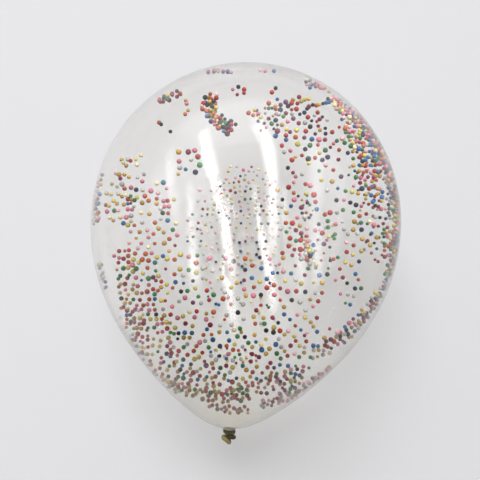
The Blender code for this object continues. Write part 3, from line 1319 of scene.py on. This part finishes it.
@dataclass
class FoamBalls:
    """All the foam balls, held against the inside of the skin by static electricity.

    Each further layer of a drift has fewer balls on a narrower path, by the two shares given,
    and lies a little less than a ball higher.
    """

    form: BalloonForm
    drifts: tuple[Drift, ...] = NEAR_DRIFTS + FAR_DRIFTS
    seed: int = 20
    mean_radius: float = 0.00166
    radius_spread: float = 0.00018
    smallest: float = 0.00112
    largest: float = 0.0021
    large_extra: float = 0.0004
    film_gap: float = 0.00016
    floor_gap: float = 0.00042
    keep_apart: float = 0.80
    cell_radii: float = 2.2
    layer_fewer: float = 0.62
    layer_narrower: float = 0.72
    layer_rise: float = 1.72
    fray: float = 1.35
    favoured: float = 0.8
    tries: int = 14
    shapes: int = 6
    roundness: int = 3
    lumpiness: float = 0.030
    lumps: float = 1.3
    small_lumps: float = 3.1
    lump_shift: Place = (7.3, 3.1, 5.7)

    def scatter(self) -> list[Ball]:
        """Lay every drift down in turn.

        Returns:
            The balls.
        """
        crowd = Crowd(self.cell_radii * self.largest)
        for number, drift in enumerate(self.drifts):
            rng = random.Random(self.seed * len(self.drifts) + number)
            for layer in range(drift.layers):
                self.lay(rng, crowd, drift, (number, layer))
        return crowd.balls

    def lay(self, rng: random.Random, crowd: Crowd, drift: Drift, owner: Owner) -> None:
        """Drop one layer of a drift into the crowd.

        Args:
            rng: where the chances come from.
            crowd: the balls so far.
            drift: the drift.
            owner: the numbers of the drift and of the layer: 0 is against the skin.
        """
        layer = owner[1]
        path = self.stretches(drift)
        area = sum(stretch.area for stretch in path)
        wanted = round(area / drift.spacing_mm ** 2 * self.layer_fewer ** layer)
        apart = self.keep_apart * drift.spacing_mm * MM if layer == 0 else 0.0
        for _ in range(wanted):
            for _ in range(self.tries):
                bearing, station = self.spot(rng, drift, path, layer)
                radius = rng.gauss(self.mean_radius, self.radius_spread)
                if rng.random() < drift.large:
                    radius += self.large_extra
                radius = min(self.largest, max(self.smallest, radius))
                depth = radius + self.film_gap + layer * self.layer_rise * self.mean_radius
                centre = self.clear_of_floor(self.form.point(bearing, station, depth), radius)
                if crowd.has_room(centre, radius, apart, owner):
                    turn = tuple(rng.uniform(0.0, 2.0 * math.pi) for _ in range(3))
                    crowd.add(Ball(centre, radius, self.pick(rng, drift), rng.random(), turn), owner)
                    break

    def mm_per_degree(self, station: float) -> float:
        """How far a degree of bearing goes round the skin at a station, in mm."""
        return self.form.ring(station) / MM * math.pi / 180.0

    def stretches(self, drift: Drift) -> list[Stretch]:
        """Measure a drift's path over the skin.

        Args:
            drift: the drift.

        Returns:
            The parts of its path.
        """
        path = []
        for first, second in zip(drift.path, drift.path[1:]):
            middle = 0.5 * (first[1] + second[1]) * MM
            rise = (second[1] - first[1]) * math.hypot(1.0, self.form.slope(middle))
            length = math.hypot((second[0] - first[0]) * self.mm_per_degree(middle), rise)
            path.append(Stretch(Vector(first), Vector(second), length, length * (first[2] + second[2])))
        return path

    def spot(self, rng: random.Random, drift: Drift, path: list[Stretch], layer: int) -> Span:
        """Pick a place in a drift at random.

        Args:
            rng: where the chances come from.
            drift: the drift.
            path: the parts of its path.
            layer: 0 against the skin, 1 on top of that, and so on.

        Returns:
            The place's bearing and station.
        """
        share = rng.uniform(0.0, sum(stretch.area for stretch in path))
        for stretch in path:
            if share <= stretch.area:
                break
            share -= stretch.area
        stop = stretch.first.lerp(stretch.second, rng.random())
        frayed = rng.random() < drift.ragged
        aside = rng.triangular(-self.fray, self.fray, 0.0) if frayed else rng.uniform(-1.0, 1.0)
        aside *= stop.z * self.layer_narrower ** layer
        per_degree = self.mm_per_degree(stop.y * MM)
        steep = math.hypot(1.0, self.form.slope(stop.y * MM))
        length = max(stretch.length, TINY)
        run = (stretch.second.x - stretch.first.x) * per_degree / length
        rise = (stretch.second.y - stretch.first.y) * steep / length
        return stop.x - aside * rise / per_degree, (stop.y + aside * run / steep) * MM

    def clear_of_floor(self, centre: Vector, radius: float) -> Vector:
        """Lift a ball that would come through the flat spot it lies on.

        Args:
            centre: the ball's centre in the balloon's own space.
            radius: its radius.

        Returns:
            Its centre once it is clear.
        """
        world = self.form.to_world @ centre
        world.z = max(world.z, radius + self.floor_gap)
        return self.form.to_world.inverted() @ world

    def pick(self, rng: random.Random, drift: Drift) -> Dye:
        """Pick a ball's colour, most often from those that its drift favours.

        Args:
            rng: where the chances come from.
            drift: the drift.

        Returns:
            The colour.
        """
        if drift.favours and rng.random() < self.favoured:
            return rng.choice(drift.favours)
        return rng.choices(list(Dye), [dye.share for dye in Dye])[0]

    def ball_shapes(self) -> tuple[list[np.ndarray], np.ndarray]:
        """Make a few slightly lumpy balls of unit radius.

        Returns:
            The points of each, and the faces that they share.
        """
        bm = bmesh.new()
        bmesh.ops.create_icosphere(bm, subdivisions=self.roundness, radius=1.0)
        bm.verts.ensure_lookup_table()
        faces = np.array([[vert.index for vert in face.verts] for face in bm.faces])
        round_ball = [vert.co.copy() for vert in bm.verts]
        bm.free()
        across, along, level = self.lump_shift
        shapes = []
        for number in range(self.shapes):
            shift = Vector((across * number, along * number, level))
            shape = []
            for spot in round_ball:
                small = noise.noise(spot * self.small_lumps + shift)
                lump = noise.noise(spot * self.lumps + shift) + 0.5 * small
                shape.append(tuple(spot * (1.0 + self.lumpiness * lump)))
            shapes.append(np.array(shape))
        return shapes, faces

    def points(self, ball: Ball, shape: np.ndarray) -> np.ndarray:
        """Put a ball's points where the ball is.

        Args:
            ball: the ball.
            shape: the points of a ball of unit radius.

        Returns:
            The ball's points in the frame.
        """
        turned = self.form.to_world.to_3x3()
        for angle, axis in zip(ball.turn, "XYZ"):
            turned = turned @ Matrix.Rotation(angle, 3, axis)
        return shape @ np.array(turned).T * ball.radius + np.array(self.form.to_world @ ball.centre)

    def build(self) -> list[Object]:
        """Make one piece for each colour of foam.

        Returns:
            The pieces.
        """
        shapes, faces = self.ball_shapes()
        by_dye: dict[Dye, list[Ball]] = {dye: [] for dye in Dye}
        for ball in self.scatter():
            by_dye[ball.dye].append(ball)
        pieces = []
        for dye, balls in by_dye.items():
            points, corners, tones = [], [], []
            for number, ball in enumerate(balls):
                shape = shapes[number % len(shapes)]
                points.append(self.points(ball, shape))
                corners.append(faces + number * len(shape))
                tones += [ball.tone] * len(shape)
            finish = FoamFinish("foam_" + dye.name.lower(), dye.colour)
            pieces.append(new_piece("foam_balls_" + dye.name.lower(), np.concatenate(points).tolist(),
                                    np.concatenate(corners).tolist(), finish.material(),
                                    {"tone": tones}))
            LOG.info("%s: %d balls", pieces[-1].name, len(balls))
        return pieces


# ---------------------------------------------------------------- the studio

@dataclass(frozen=True)
class SoftBox:
    """A square light that shines towards the balloon and isn't itself in view."""

    name: str
    place: Place
    side: float
    watts: float
    aim: Place = (0.0, 0.0, 0.1)

    def build(self, only: Sequence[Object] = ()) -> Object:
        """Hang the light.

        Args:
            only: the pieces that it is turned on for, or nothing if it is on for everything.

        Returns:
            The light.
        """
        lamp = bpy.data.lights.new(self.name, 'AREA')
        lamp.shape = 'SQUARE'
        lamp.size = self.side
        lamp.energy = self.watts
        item = in_scene(self.name, lamp)
        facing = (Vector(self.aim) - Vector(self.place)).to_track_quat('-Z', 'Y')
        item.matrix_world = Matrix.Translation(self.place) @ facing.to_matrix().to_4x4()
        item.visible_camera = False
        item.visible_glossy = bool(only)
        if only:
            lit = bpy.data.collections.new(self.name + "_lights")
            for piece in only:
                lit.objects.link(piece)
            item.light_linking.receiver_collection = lit
        return item


def only_mirrored(item: Object) -> None:
    """Let a piece show in mirror images and nowhere else."""
    for ray in ("camera", "diffuse", "shadow"):
        setattr(item, "visible_" + ray, False)


@dataclass(frozen=True)
class Strip:
    """A long level light, which shows as a highlight in the balloon's skin and nowhere else.

    Each stop is a place x, y over the floor, the strip's width there and how brightly it glows.
    The core is the share of the width that glows in full, and beside it the glow fades out.
    """

    name: str
    stops: tuple[tuple[float, float, float, float], ...]
    core: float
    height: float = 1.3
    steps: int = 14
    lanes: int = 12

    def build(self) -> Object:
        """Hang the strip.

        Returns:
            The strip's object.
        """
        stops = [Vector(stop) for stop in self.stops]
        run = (stops[-1] - stops[0]).to_2d().normalized()
        aside = Vector((-run.y, run.x))
        middles = [stops[0]]
        for first, second in zip(stops, stops[1:]):
            middles += [first.lerp(second, (k + 1) / self.steps) for k in range(self.steps)]
        points, glow = [], []
        for stop in middles:
            for lane in range(self.lanes + 1):
                across = 2.0 * lane / self.lanes - 1.0
                spot = stop.to_2d() + 0.5 * across * stop.z * aside
                points.append((spot.x, spot.y, self.height))
                glow.append(stop.w * (1.0 - smooth_step(abs(across), self.core, 1.0)))
        faces = sheet_faces(len(middles) - 1, self.lanes)
        item = new_piece(self.name, points, faces, GlowFinish(self.name).material(), {"glow": glow})
        only_mirrored(item)
        item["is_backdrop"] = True
        return item


@dataclass(frozen=True)
class BlackBoard:
    """A black board in front of the knot, which only darkens what the skin mirrors.

    Its cover fades out towards its sides and its top over the share given by the soft edge.
    """

    name: str = "black_board"
    left: float = -1.5
    right: float = 1.1
    back: float = -0.95
    height: float = 1.0
    soft_edge: float = 0.35
    steps: int = 16

    def build(self) -> Object:
        """Stand the board up.

        Returns:
            The board's object.
        """
        points, cover = [], []
        for row in range(self.steps + 1):
            for column in range(self.steps + 1):
                across = column / self.steps
                up = row / self.steps
                points.append((self.left + across * (self.right - self.left), self.back,
                               up * self.height))
                inside = min(across, 1.0 - across, 1.0 - up)
                cover.append(smooth_step(inside, 0.0, self.soft_edge))
        faces = sheet_faces(self.steps, self.steps)
        item = new_piece(self.name, points, faces, BlackFinish(self.name).material(),
                         {"cover": cover})
        only_mirrored(item)
        item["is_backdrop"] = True
        return item


STRIPS = (
    Strip("left_strip", ((-0.97, 1.38, 0.42, 3.5), (-0.88, 1.15, 0.4, 8), (-0.6, 0.5, 0.31, 14),
                          (-0.43, 0.1, 0.25, 15), (-0.3, -0.3, 0.23, 17), (-0.27, -0.5, 0.22, 17),
                          (-0.22, -0.75, 0.21, 14), (-0.17, -1, 0.21, 11.5),
                          (-0.16, -1.3, 0.24, 4.5), (-0.16, -1.6, 0.26, 0)), 0.05),
    Strip("left_strip_halo", ((-0.85, 1, 0.62, 0.3), (-0.62, 0.5, 0.6, 1.4), (-0.56, 0.1, 0.6, 2.5),
                               (-0.54, -0.35, 0.56, 3), (-0.53, -0.75, 0.5, 3.2),
                               (-0.48, -1.1, 0.42, 2.4), (-0.42, -1.5, 0.32, 0)), 0.1),
    Strip("right_strip", ((0.03, 1.7, 0.48, 1.6), (0.06, 1.4, 0.44, 4), (0.1, 1.15, 0.4, 9),
                           (0.215, 0.75, 0.32, 14), (0.28, 0.3, 0.26, 14), (0.325, -0.1, 0.24, 14),
                           (0.37, -0.3, 0.24, 14.5), (0.4, -0.47, 0.25, 11), (0.46, -0.66, 0.26, 4),
                           (0.52, -0.9, 0.28, 0)), 0.05),
    Strip("right_strip_foot", ((0.16, -0.34, 0.12, 0), (0.22, -0.46, 0.16, 6), (0.33, -0.66, 0.2, 11),
                                (0.45, -0.92, 0.21, 7), (0.55, -1.22, 0.2, 0)), 0.1),
    Strip("far_left_strip", ((-2.1, 1.4, 0.6, 0.5), (-1.6, 0.5, 0.6, 5), (-1.35, -0.1, 0.56, 3.5),
                              (-1.15, -0.55, 0.5, 0.3)), 0.1),
    Strip("low_left_strip", ((-0.88, -0.03, 0.26, 1), (-0.88, -0.3, 0.32, 5.5), (-0.9, -0.7, 0.36, 6.5),
                              (-0.98, -1.2, 0.42, 7), (-1.15, -1.75, 0.5, 5), (-1.4, -2.5, 0.6, 0)),
                            0.1),
    Strip("far_right_strip", ((1.28, 1.6, 0.9, 0.5), (1.2, 0.95, 0.8, 3), (1.12, 0.4, 0.7, 3.4),
                               (1.14, -0.15, 0.6, 3.4), (1.38, -0.45, 0.55, 4), (1.6, -0.75, 0.55, 5),
                               (1.95, -1.15, 0.65, 5.5), (2.5, -1.75, 0.8, 3), (3.2, -2.4, 1, 0)),
                             0.15),
    Strip("left_wall_glow", ((-1.8, 1, 2.8, 0), (-1.8, 0.4, 3, 1), (-1.8, -0.4, 3, 1.3),
                              (-1.9, -0.9, 3, 1.1), (-2.2, -1.8, 3.2, 0)), 0.45),
    Strip("right_wall_glow", ((1.75, 1.9, 2.4, 0), (1.75, 1.2, 2.8, 1.6), (1.75, 0.2, 3.1, 1.7),
                               (1.95, -0.7, 3.3, 2.1), (2.5, -1.5, 3.6, 1.5), (3, -2.6, 3.8, 0)), 0.45),
    Strip("left_low_glow", ((-0.34, 0.45, 0.4, 0), (-0.34, 0.2, 0.4, 0.24), (-0.34, -0.3, 0.4, 0.3),
                             (-0.34, -0.6, 0.4, 0)), 0.4, 0.004),
    Strip("overhead_glow", ((0, -0.78, 1, 0), (0, -0.4, 1.3, 0.9), (0, -0.12, 1.4, 0.8),
                             (0, 0.06, 1.4, 0.3), (0, 0.25, 1.4, 0)), 0.15),
    Strip("crown_glow", ((-0.1, 0.73, 1.3, 0), (-0.1, 0.8, 1.3, 1.3), (-0.3, 1.25, 2.4, 1.4),
                          (-0.6, 2.6, 4.4, 1.4), (-0.8, 5, 6, 0)), 0.5),
)


@dataclass
class Studio:
    """Floor, lights, surroundings and camera.

    The camera looks square down on the balloon's axis, and the lean turns the crown a little to
    the right.  The room is dim on the knot's side and bright past the crown, and level with the
    floor it glows evenly.
    """

    form: BalloonForm
    balls: Sequence[Object]
    floor_radius: float = 6.0
    floor_rings: int = 24
    floor_points: int = 96
    blends_from: float = 0.9
    floor_drop: float = 0.0002
    lens: float = 44.2
    sensor: float = 36.0
    clip: Span = (0.01, 60.0)
    distance: float = 0.55
    lean: float = 5.02
    shift_right: float = -0.00527
    shift_up: float = -0.01543
    level_glow: float = 0.86
    side_glow: Span = (0.40, 1.90)
    side_span: Span = (0.0, 0.9)
    bright_side: Place = (-0.45, 0.89, 0.0)
    level_span: Span = (0.22, 0.42)
    key: SoftBox = SoftBox("key", (-0.55, 1.15, 3.2), 1.6, 56.0)
    ball_lamp: SoftBox = SoftBox("ball_lamp", (0.14, 0.38, 1.00), 0.38, 12.5)
    strips: tuple[Strip, ...] = STRIPS
    board: BlackBoard = BlackBoard()

    def floor(self) -> Object:
        """Lay a wide round floor just under the balloon.

        Returns:
            The floor.
        """
        points = [(0.0, 0.0, -self.floor_drop)]
        cover = [1.0]
        for ring in range(self.floor_rings):
            radius = self.floor_radius * ((ring + 1) / self.floor_rings) ** 2
            for k in range(self.floor_points):
                turn = 2.0 * math.pi * k / self.floor_points
                points.append((radius * math.cos(turn), radius * math.sin(turn), -self.floor_drop))
                cover.append(1.0 - smooth_step(radius, self.blends_from, self.floor_radius))
        faces = ring_faces(self.floor_rings, self.floor_points)
        faces += [(0, 1 + k, 1 + (k + 1) % self.floor_points) for k in range(self.floor_points)]
        item = new_piece("studio_floor", points, faces, FloorFinish().material(), {"cover": cover})
        item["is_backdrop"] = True
        return item

    def surroundings(self) -> None:
        """Light everything from a plain pale room, brightest past the crown and to its left."""
        wiring = Wiring(bpy.data.worlds.new("pale_room"), "ShaderNodeOutputWorld")
        direction = wiring.add("ShaderNodeTexCoord", output="Generated")
        ahead = wiring.along(direction, Vector(self.bright_side).normalized())
        overhead = wiring.ramp(ahead, self.side_span, self.side_glow)
        rise = wiring.ramp(wiring.along(direction, (0.0, 0.0, 1.0)), self.level_span)
        glow = wiring.add("ShaderNodeMix", {"Factor": rise, "A": self.level_glow, "B": overhead},
                          "Result", data_type='FLOAT')
        light = wiring.add("ShaderNodeBackground", {"Strength": glow})
        bpy.context.scene.world = wiring.finish(light)

    def camera(self) -> Object:
        """Set the camera up.

        Returns:
            The camera.
        """
        dip, lean = self.form.dip, math.radians(self.lean)
        axis = Vector((0.0, math.cos(dip), math.sin(dip)))
        back = Vector((0.0, -math.sin(dip), math.cos(dip)))
        side = Vector((1.0, 0.0, 0.0))
        right = math.cos(lean) * side + math.sin(lean) * axis
        up = math.cos(lean) * axis - math.sin(lean) * side
        data = bpy.data.cameras.new("camera")
        data.lens = self.lens
        data.sensor_width = self.sensor
        data.clip_start, data.clip_end = self.clip
        item = in_scene("camera", data)
        middle = self.form.to_world.translation
        place = middle + self.shift_right * right + self.shift_up * up + self.distance * back
        turn = Matrix((right, up, back)).transposed().to_4x4()
        item.matrix_world = Matrix.Translation(place) @ turn
        bpy.context.scene.camera = item
        return item

    def build(self) -> None:
        """Set the whole studio up."""
        self.camera()
        self.floor()
        self.surroundings()
        self.key.build()
        self.ball_lamp.build(self.balls)
        for strip in self.strips:
            strip.build()
        self.board.build()
        bpy.context.scene.view_settings.view_transform = 'Standard'


# ---------------------------------------------------------------- the whole

def corners(box: tuple[Vector, Vector]) -> list[list[float]]:
    """A box's two corners as plain lists of numbers."""
    return [list(corner) for corner in box]


def write_sizes(cad: tuple[Vector, Vector]) -> None:
    {"cad": corners(cad), "visual": corners(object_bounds())}


def main() -> None:
    """Build the balloon in the frame: skin, knot and foam balls, then the studio round it."""
    logging.basicConfig(level=logging.INFO, format="%(name)s: %(message)s")
    cad_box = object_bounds()
    low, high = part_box(NODE)
    form = BalloonForm(radius=0.5 * (high[0] - low[0]))
    LOG.info("radius %.4f m, axis dips %.2f degrees", form.radius, math.degrees(form.dip))
    latex = [Skin(form).build(), Knot(form).build()]
    for piece in latex:
        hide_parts(NODE)
        LOG.info("%s: %d faces", piece.name, len(piece.data.polygons))
    balls = FoamBalls(form).build()
    for piece in latex + balls:
        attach(piece, BODY)
    Studio(form, balls).build()
    write_sizes(cad_box)


if __name__ == "__main__":
    main()
